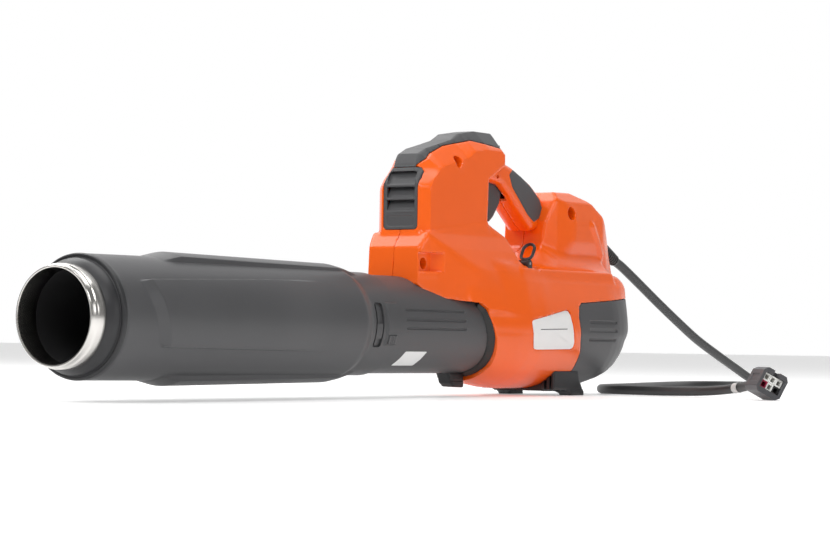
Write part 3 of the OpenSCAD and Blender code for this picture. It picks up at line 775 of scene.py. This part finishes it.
DRUM_SIDE = [(560, -90), (560, 90), (955, 90), (950, 10), (945, -10), (931, -32), (905, -52),
             (872, -64), (840, -90)]
DUCT_WINDOW = [(400, 90), (519, 90), (519, 45), (531, 36), (545, 30), (580, 27), (612, 25),
               (623, 19), (631, 5), (640, -12), (646, -28), (650, -41), (650, -90), (400, -90)]
REAR_WINDOW = [(793, 12), (797, 24), (804, 29), (870, 33), (965, 40), (965, -95), (811, -95),
               (811, -53), (805, -27), (798, -11)]
SPINE_WINDOW = [(525, 230), (695, 230), (695, 195), (635, 202), (590, 193), (562, 183),
                (545, 171), (536, 158), (533, 150), (525, 150)]
SCREWS = ((597, 176, 6.2), (534, 65, 6.0), (824, 132, 7.5))    # s, h and radius of the pocket
PILOT_R, POST_WALL = 2.2, 2.5
LABEL = [(692, 8), (770, 21), (776, 18), (788, -19), (784, -24), (706, -25), (701, -22)]


def outer_form(s, y, h):
    """The whole moulded body, before it is split into pieces."""
    a = np.abs(y)
    drum = smax(poly(s, np.hypot(y, h), DRUM_PROFILE), rounded(s, h, DRUM_SIDE, 24), 7)
    shoulder = smax(smax(rounded(s, h, SHOULDER_SIDE, 1.2), poly(a, h, SHOULDER_FRONT), 2),
                    poly(s, a, SHOULDER_PLAN), 2.5)
    shelf = smax(smax(rounded(s, h, SHELF_SIDE, 6), poly(a, h, SHELF_FRONT), 6),
                 rounded(s, a, SHELF_PLAN, 10), 9)
    hump = smax(smax(rounded(s, h, HUMP_SIDE, 3), poly(a, h, HUMP_FRONT), 2),
                poly(s, a, HUMP_PLAN), 2.5)
    bevel = 9 + 11 * ease((h - 142) / 28)
    crown = h + 0.0015 * a * a
    tower = smax(chamfer(poly(s, crown, TOWER_TOP), a - 33, bevel),
                 rounded(s, h, TOWER_SIDE, 2), 2)
    rise = 6 + 19 * ease((s - 735) / 45)
    ramp = 0.8 * (h - 65.5 - rise * ease((55 - a) / 32))
    ramp = smax(smax(ramp, slab(s, 690, 895), 8), smax(a - 55, 40 - h, 2), 3)
    f = smin(smin(drum, shoulder, 14), shelf, 12)
    f = smin(smin(f, ramp, 3), hump, 6)
    f = smin(f, tower, 2.5)
    rib = capsule(s, a, h, (866, 39, 119), (893, 35, 86), 4.6)
    f = smin(f, rib, 3)
    return smax(f, -74.5 - h, 1)


def window_cut(s, h):
    w = np.minimum(poly(s, h, DUCT_WINDOW), poly(s, h, REAR_WINDOW))
    return np.minimum(w, poly(s, h, SPINE_WINDOW))


def vent_box(s, y, h, g):
    return smax(smax(s - 546, rounded(y, h, [(-22, 167.5), (22, 167.5), (22, 101),
                                            (-22, 101)], 5) - g, 0.5), 520 - s, 0.5)


def housing_form(side):
    def f(s, y, h):
        y = y * side
        full = outer_form(s, y, h)
        v = smax(full, -(full + WALL), 1)
        posts = np.minimum.reduce([from_axis(s, h, at) - at[2] - POST_WALL for at in SCREWS])
        v = smin(v, smax(smax(posts, full, 0.5), slab(y, -60, -7), 0.5), 1)
        ds, dh = s - 797, h - 129.5     # ring round the foot of the handle
        along = ds * 0.87 - dh * 0.5
        across = np.hypot(ds * 0.5 + dh * 0.87, y)
        v = smin(v, np.hypot(along, across - 18) - 4.2, 2)
        if side > 0:
            backing = smax(smax(slab(s, 521, 566), slab(h, 50, 82), 1), slab(y, -40, -27), 1)
            v = smin(v, smax(backing, full, 0.5), 0.5)
        for at in SCREWS:
            away = from_axis(s, h, at)
            if side > 0:
                v = smax(v, -smax(away - at[2], y + 12, 0.8), 1.2)
            v = smax(v, -(away - PILOT_R), 0.4)
        if side > 0:
            floor_y = y + 30.8 + np.maximum(s - 547, 0) * 1.1
            pocket = smax(smax(slab(h, 56.5, 76.5), slab(s, 523.5, 562), 1), floor_y, 1)
            v = smax(v, -pocket, 0.8)
            plate = smax(rounded(s, h, LABEL, 4), slab(np.hypot(y, h), DRUM_R - 1.1, 80), 0.3)
            v = smax(v, -smax(plate, y, 1), 0.6)
            v = smax(v, -gland_hole(s, y, h), 0.5)
            slot = smax(capsule(s, y, h, (704, -43, 67), (730, -53, 66), 3.6), 62 - h, 0.5)
            v = smax(v, -slot, 0.8)
        v = smax(v, -window_cut(s, h), 0.8)
        v = smax(v, -vent_box(s, y, h, 0.25), 0.8)
        v = smax(v, -smax(np.hypot(y, h) - DUCT_R + 1.6, slab(s, 480, 662), 0.5), 0.8)
        v = smax(v, -smax(smax(slab(h, 168, 176), slab(y, -8, 8), 1), slab(s, 680, 700), 1), 1)
        v = smax(v, -smax(smax(slab(h, 118, 134), slab(y, -8, 8), 1), slab(s, 776, 806), 1), 1)
        return smax(v, y + SEAM, 0.5)
    return f


def gland_hole(s, y, h):
    ds, dh = s - 921, h - 95.5
    c, t = math.cos(GLAND_TILT), math.sin(GLAND_TILT)
    off = np.hypot(y + 20, ds * t + dh * c)
    return smax(off - 9.3, np.abs(ds * c - dh * t) - 40, 0.5)


def housing_fine(p):
    """Where the left housing gets smaller faces."""
    s, y, h = p.T
    near = np.abs(window_cut(s, h)) < 2.6
    for at in SCREWS:
        near |= (np.abs(from_axis(s, h, at) - at[2]) < 3) & (y < -20)
    near |= (s > 518) & (s < 566) & (h > 53) & (h < 80) & (y < -28)
    near |= (np.abs(rounded(s, h, LABEL, 4)) < 3) & (y < -30)
    return near | ((np.abs(y) < 4) & (s < 545))


left = solid("left_housing_moulded", housing_form(1), (519, -70, -78), (952, 0.5, 217), GRID,
             housing_fine, 32)
finish_piece(left, "left_housing")
right_half = solid("right_housing_moulded", housing_form(-1), (519, -0.5, -78),
                   (952, 70, 217), GRID,
                   lambda p: np.abs(window_cut(p[:, 0], p[:, 2])) < 2.6, 32)
finish_piece(right_half, "right_housing")


def seal_lip_and_shade_form(s, y, h):
    """Black lip along the rear edge of the opening that the duct shows through. Towards the rear
    it widens into painted shade: black rubber fills the gap between the housing edge and the duct,
    where only shade falls.
    """
    edge = poly(s, h, DUCT_WINDOW)
    # Painted shade: from about s 596 the lip widens by up to 8 mm so that black fills the shaded
    # gap
    wide = 1.3 + 8 * ease((s - 596) / 38)
    rho = np.hypot(y, h)
    top = rho - DUCT_R - 0.5 - 4.2 * np.clip(1 + edge / wide, 0, 1) * ease((s - 560) / 60)
    f = smax(smax(top, DUCT_R - rho, 0.3), edge + 0.35 + 0 * y, 0.5)
    f = smax(f, -(edge + wide) + 0 * y, 0.6)
    f = smax(f, -smax(np.abs(y) - 9.3, h + 30, 0.3), 0.3)
    return smax(smax(f, s - 655, 0.3), 612.3 - s, 0.3)


# Seal lip, partly real black rubber and partly a painted shade band at the rear of the opening
seal_and_shade_band = solid("duct_seal_lip_and_shade_band", seal_lip_and_shade_form, (608, -59, -59), (656, 59, 46),
             1.1, None, 34)
finish_piece(seal_and_shade_band, "duct_seal")


def rear_form(s, y, h):
    full = outer_form(s, y, h)
    f = smax(full, -(full + WALL), 1)
    f = smax(f, poly(s, h, REAR_WINDOW) + 0.55 + 0 * y, 1)
    for level in (7.5, -2.2, -12):
        groove = np.hypot(h - level, np.maximum(np.abs(s - 848) - 30, 0)) - 1.3
        f = smax(f, -smax(groove, -(full + 1.3), 0.4), 0.6)
    vents = 1e3 + 0 * (s + y + h)
    for level in range(-24, 20, 11):
        vents = np.minimum(vents, smax(slab(h, level, level + 5), slab(y, -24, 24), 2.5))
    return smax(f, -smax(vents, 880 - s, 1), 0.8)


def rear_fine(p):
    s, y, h = p.T
    near = np.abs(poly(s, h, REAR_WINDOW) + 0.5) < 2.6
    return near | ((s > 812) & (s < 884) & (h > -17) & (h < 12.5) & (np.hypot(y, h) > 65))


finish_piece(solid("rear_cover_grooved", rear_form, (792, -70, -74), (951, 70, 41), GRID,
                   rear_fine, 32), "rear_cover")


def spine_form(s, y, h):
    full = outer_form(s, y, h) + 0.25
    f = smax(full, -(full + WALL), 1)
    f = smax(f, poly(s, h, SPINE_WINDOW) + 0.5 + 0 * y, 1)
    f = smax(f, -vent_box(s, y, h, 0.25), 0.8)
    return smax(f, smax(s - 689.6, 100 - h, 1), 0.8)


finish_piece(solid("spine_cover_moulded", spine_form, (530, -34, 150), (691, 34, 216),
                   GRID - 0.2, lambda p: np.abs(poly(p[:, 0], p[:, 2], SPINE_WINDOW) + 0.5) < 2.4,
                   32), "spine_cover")


def vent_form(s, y, h):
    """Front cover with its window, three sloping slats and the blank panel below."""
    full = outer_form(s, y, h)
    plate = smax(full, -(full + 3.4), 0.8)
    frame_form = smax(plate, vent_box(s, y, h, -0.25), 0.8)
    window = smax(rounded(y, h, [(-17.6, 163), (17.6, 163), (17.6, 119), (-17.6, 119)], 3),
                  s - 560, 1)
    f = smax(frame_form, -window, 0.8)
    f = smax(f, -smax(rounded(y, h, [(-17.6, 115.5), (17.6, 115.5), (17.6, 104.5),
                                     (-17.6, 104.5)], 4), -(full + 0.8), 0.5), 1)
    for low in (119.5, 133.2, 147):
        slope = (s - 535.3) * 0.87 - (h - low) * 0.49
        slat = smax(np.abs(slope) - 0.75, smax(slab(h, low - 0.5, low + 16), slab(y, -18.5, 18.5),
                                              0.3), 0.4)
        nose = np.hypot(s - 535.8, h - low - 0.6) - 1.5
        slat = smin(slat, smax(nose, slab(y, -18.5, 18.5), 0.4), 0.8)
        f = smin(f, slat, 0.6)
    return smax(f, smax(smax(s - 546, 533 - s, 0.5), h - 167.2, 0.5), 0.5)


finish_piece(solid("vent_cover_slatted", vent_form, (532, -23, 100), (547, 23, 169),
                   1.05, None, 34), "vent_cover")

# ---------- handle ----------

GRIP_SIDE = [(676, 186), (708, 186), (731, 180), (749, 173), (770, 164), (788, 153), (812, 136),
             (800, 112), (772, 110), (760, 119), (743, 132), (725, 147), (708, 158), (676, 163)]
PAD_SIDE = [(722, 171), (731, 177), (749, 170), (769, 160), (787, 147), (793, 137), (787, 125),
            (776, 120), (762, 128), (745, 143), (729, 157)]
HANDLE_SCREWS = ((760, 151), (786, 132))
TRIGGER_PIN = (699, 167)


def grip_form(s, y, h):
    return smax(rounded(s, h, GRIP_SIDE, 5), np.abs(y) - 17, 9)


def hand_solids(s, y, h):
    a = np.abs(y)
    tower = smax(poly(s, h, TOWER_SIDE), a - 33, 1)
    hump = smax(smax(poly(s, h, HUMP_SIDE), poly(a, h, HUMP_FRONT), 1), poly(s, a, HUMP_PLAN), 1)
    return np.minimum(tower, hump) - 0.25


def handle_form(side):
    def f(s, y, h):
        y = y * side
        full = grip_form(s, y, h)
        v = smax(full, -(full + 3.4), 0.8)
        for at in HANDLE_SCREWS:
            away = from_axis(s, h, at)
            v = smin(v, smax(smax(away - 4, full, 0.3), y + 0.2, 0.3), 0.5)
            v = smax(v, -(away - 2), 0.3)
        pivot = from_axis(s, h, TRIGGER_PIN)
        v = smin(v, smax(smax(pivot - 5, full, 0.3), y + 8.3, 0.3), 0.5)
        v = smax(v, -(pivot - 2.05), 0.3)
        v = smax(v, -smax(smax(slab(s, 688.6, 731.4), slab(y, -8.4, 8.4), 0.5),
                          slab(h, 100, 172.4), 0.5), 0.6)
        v = smax(v, -hand_solids(s, y, h), 0.4)
        return smax(v, y + SEAM, 0.3)
    return f


def pad_form(side):
    def f(s, y, h):
        y = y * side
        full = grip_form(s, y, h)
        face = smax(full - 0.6, rounded(s, h, PAD_SIDE, 3.5), 1.2)
        return smax(smax(face, -(full + 2.2), 0.3), y + 8, 0.3)
    return f


def half_box(side, s, y, h):
    """Corners of a box on one side, from the left side's ranges."""
    near, far = sorted(side * v for v in y)
    return (s[0], near, h[0]), (s[1], far, h[1])


for side, word in ((1, "left"), (-1, "right")):
    finish_piece(solid(f"handle_{word}_moulded", handle_form(side),
                       *half_box(side, (675, 813), (-22, 0.5), (108, 188)),
                       1.6, None, 34), f"handle_{word}")
    finish_piece(solid(f"grip_pad_{word}_soft", pad_form(side),
                       *half_box(side, (724, 793), (-18, -7), (120, 176)), 0.9,
                       None, 40), f"grip_pad_{word}")

TRIGGER = [(692, 168), (696, 172), (703, 172), (707, 164), (718, 164), (722, 149), (719, 138),
           (707, 123), (699, 117), (694, 119), (692, 140)]


def trigger_form(s, y, h):
    pivot = from_axis(s, h, TRIGGER_PIN)
    f = smax(rounded(s, h, TRIGGER, 1.2), np.abs(y) - 7.3, 3)
    f = smin(f, smax(pivot - 4.5, np.abs(y) - 7.3, 0.8), 0.5)
    return smax(f, -(pivot - 2.15), 0.3)


finish_piece(solid("trigger_moulded", trigger_form, (691, -7.5, 116), (723, 7.5, 173),
                   1.0, None, 36), "trigger")

# ---------- strap loop ----------

LOOP = Matrix.Translation((0.235, -0.046, 0.1465)) @ Matrix.Rotation(math.radians(30), 4, "Y")


def loop_form(s, y, h):
    """Rounded stadium ring over a flat tongue, and the barrel round its pin."""
    mid = np.hypot(y, np.maximum(np.abs(h - 15) - 3, 0)) - 7.3
    ring = np.hypot(mid, s * 0.95) - 1.72
    tongue = smax(smax(np.abs(y) - 3.8, np.abs(s) - 1.6, 1), slab(h, 0, 6.6), 0.8)
    barrel = smax(np.hypot(s, h) - 2.75, np.abs(y) - 3.9, 0.5)
    f = smin(smin(ring, tongue, 2), barrel, 0.8)
    return smax(f, -(np.hypot(s, h) - 1.58), 0.2)


loop = placed(solid("strap_loop_ring", loop_form, (-3, -10, -3), (3, 10, 27),
                    0.55, None, 45), LOOP)
finish_piece(loop, "strap_loop")

# ---------- stand and keel ----------

FOOT = [(772, -45), (824, -40), (829, -58), (837, -70), (838, -76), (811, -76), (800, -70),
        (772, -69)]
BRIDGE = [(775, -50), (822, -50), (822, -60), (806, -71), (775, -71)]


def stand_form(s, y, h):
    a = np.abs(y)
    feet = smax(rounded(s, h, FOOT, 1), slab(a, 33, 49), 2.5)
    pads = smax(rounded(s, h, [(810, -70.5), (838.3, -70.5), (838.3, -76), (810, -76)], 1),
                slab(a, 33, 49), 1.5)
    bridge = smax(rounded(s, h, BRIDGE, 1), a - 33, 1.5)
    f = smin(smin(feet, bridge, 4), pads, 1.5)
    for low in (36, 43):
        f = smax(f, -smax(smax(slab(a, low, low + 2.6), slab(h, -69.5, -50), 0.5),
                          slab(s, 770, 822), 0.5), 0.6)
    f = smax(f, -(smax(np.hypot(y, h) - DRUM_R, s - 960, 1) - GAP), 0.4)
    screw = np.hypot(s - 789, a - 20)
    return smax(f, -smax(screw - 3.3, h + 68, 0.3), 0.4)


finish_piece(solid("stand_moulded", stand_form, (764, -51, -77), (840, 51, -38),
                   1.5, None, 34), "stand")

KEEL = [(618, -40), (649, -40), (649, -67), (630, -66), (624, -62), (618, -51)]


def keel_form(s, y, h):
    f = smax(rounded(s, h, KEEL, 1.5), np.abs(y) - 8.8, 3)
    f = smax(f, -smax(slab(h, -60, -56.5), np.abs(np.abs(y) - 9) - 1.2, 0.3), 0.6)
    return smax(f, -(np.hypot(y, h) - DUCT_R), 0.4)


finish_piece(solid("duct_keel_moulded", keel_form, (617, -9, -68), (650, 9, -40),
                   1.3, None, 34), "duct_keel")

# ---------- label and screws ----------

outline = [(s, DRUM_R * math.asin(h / DRUM_R)) for s, h in soft_corners(inset(LABEL, 0.9), 4.5)]
finish_piece(patch("label_plate_film", outline, DRUM_R - 0.75, 0.6, 9), "label_plate")
stripe = [(s, DRUM_R * math.asin((h + 0.02 * (s - 716)) / DRUM_R)) for s, h in
          soft_corners([(711, -2.4), (711, -1.5), (768, -1.5), (768, -2.4)], 0.3, 2)]
line_piece = patch("label_rule", stripe, DRUM_R - 0.16, 0.12, 2)
finish_piece(line_piece, "label_plate", replaces=False, slot="grey_plastic")


def screw(name, s, y, h, r, length, axis="Y"):
    """Socket-head screw with a six-lobed drive; its head faces -y, or down."""
    def f(u, v, w):
        head = smax(np.hypot(v, w) - r, slab(u, 0, 2.8), 0.5)
        angle = np.arctan2(w, v)
        head = smax(head, -smax(np.hypot(v, w) - 1.5 - 0.22 * np.cos(6 * angle), u - 1.6, 0.1),
                    0.2)
        shank = smax(np.hypot(v, w) - 1.55, slab(u, 2, 2.8 + length), 0.3)
        return smin(head, shank, 0.2)
    made = solid(name, f, (0, -r, -r), (2.8 + length, r, r), 0.45, None, 40)
    turn_to = (Matrix.Rotation(math.radians(90), 4, "Z") if axis == "Y"
               else Matrix.Rotation(math.radians(-90), 4, "Y"))
    place = Matrix.Translation(Vector(world([(s, y, h)])[0])) @ turn_to
    return placed(made, place)


finish_piece(join("housing_screws_driven", [
    screw("screw", ps, -13, ph, 3.2, 20) for ps, ph, _ in SCREWS]), "housing_screws")
finish_piece(join("stand_screws_driven", [
    screw("screw", 789, side * 20, -70.8, 3, 6, "Z") for side in (-1, 1)]), "stand_screws")

# ---------- trigger spring ----------


def coil(name, middle, radius, wire, low, high, turns, steps=28, around=10):
    """Upright wire coil with closed ends."""
    rings = int(turns * steps) + 1
    pitch = (high - low) / turns / (2 * math.pi)
    points = []
    for i in range(rings):
        turn = 2 * math.pi * i / steps
        out = np.array((math.cos(turn), math.sin(turn), 0))
        along = np.array((-radius * out[1], radius * out[0], pitch))
        side = np.cross(along / np.linalg.norm(along), out)
        centre = np.array((middle[0], middle[1], low + pitch * turn)) + radius * out
        points += [centre + wire * (math.cos(w) * out + math.sin(w) * side)
                   for w in np.arange(around) * 2 * math.pi / around]
    faces = [(i * around + j, i * around + (j + 1) % around,
              (i + 1) * around + (j + 1) % around, (i + 1) * around + j)
             for i in range(rings - 1) for j in range(around)]
    faces += [range(around), range((rings - 1) * around, rings * around)]
    return add_mesh(name, points, faces)


spring = coil("trigger_spring_coil", (713, 0), 2.6, 0.5, 165, 180, 6)
finish_piece(spring, "trigger_spring")
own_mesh(spring)

# ---------- CAD pieces that stay ----------

for name, obj in frame["nodes"].items():
    obj.data.materials.clear()
    obj.data.materials.append(MATERIALS[SLOTS[name]])
    obj.data.shade_smooth()
    obj.data.set_sharp_from_angle(angle=math.radians(30))

# ---------- studio ----------

bpy.ops.mesh.primitive_plane_add(size=30, location=(2, 3, 0))
floor = bpy.context.object
floor.name = "floor"
floor_mat = bpy.data.materials.new("floor_pale")
floor_mat.use_nodes = True
floor_shader = floor_mat.node_tree.nodes["Principled BSDF"]
floor_shader.inputs["Base Color"].default_value = (0.84, 0.84, 0.84, 1)
floor_shader.inputs["Roughness"].default_value = 0.4
floor_shader.inputs["Emission Color"].default_value = (1, 1, 1, 1)
floor_shader.inputs["Emission Strength"].default_value = 0.27
floor.data.materials.append(floor_mat)

world_data = bpy.data.worlds.new("studio")
bpy.context.scene.world = world_data
world_data.use_nodes = True
sky, wires = world_data.node_tree.nodes, world_data.node_tree.links
aim = sky.new("ShaderNodeTexCoord")
dot = sky.new("ShaderNodeVectorMath")
dot.operation = "DOT_PRODUCT"
dot.inputs[1].default_value = (0.82, 0.57, 0.0)
fall = sky.new("ShaderNodeMapRange")
fall.interpolation_type = "SMOOTHSTEP"
fall.inputs["From Min"].default_value = 0.25
fall.inputs["From Max"].default_value = 0.9
fall.inputs["To Min"].default_value = 0.2
fall.inputs["To Max"].default_value = 1.0
wires.new(aim.outputs["Generated"], dot.inputs[0])
wires.new(dot.outputs["Value"], fall.inputs["Value"])
wires.new(fall.outputs["Result"], sky["Background"].inputs["Strength"])
sky["Background"].inputs["Color"].default_value = (1, 1, 1, 1)


def softbox(name, where, target, size, power):
    data = bpy.data.lights.new(name, "AREA")
    data.shape = "RECTANGLE"
    data.size, data.size_y = size
    data.energy = power
    lamp = bpy.data.objects.new(name, data)
    bpy.context.collection.objects.link(lamp)
    lamp.location = where
    lamp.rotation_euler = (Vector(target) - Vector(where)).to_track_quat("-Z", "Y").to_euler()


softbox("key_left", (-2.2, 0.2, 1.7), (0, 0, 0.1), (1.6, 1.2), 34)
softbox("top", (0.1, -0.3, 2.3), (0, 0, 0), (2.0, 1.6), 26)
softbox("back_top", (0.3, 1.7, 2.2), (0.1, 0, 0.15), (2.4, 1.4), 34)
softbox("camera_top", (-1.9, -1.9, 1.9), (0.2, 0, 0.15), (1.3, 0.8), 15)
softbox("front_fill", (0.3, -2.6, 0.8), (0.1, 0, 0.1), (1.6, 0.7), 7)
bpy.context.scene.view_settings.view_transform = "Standard"
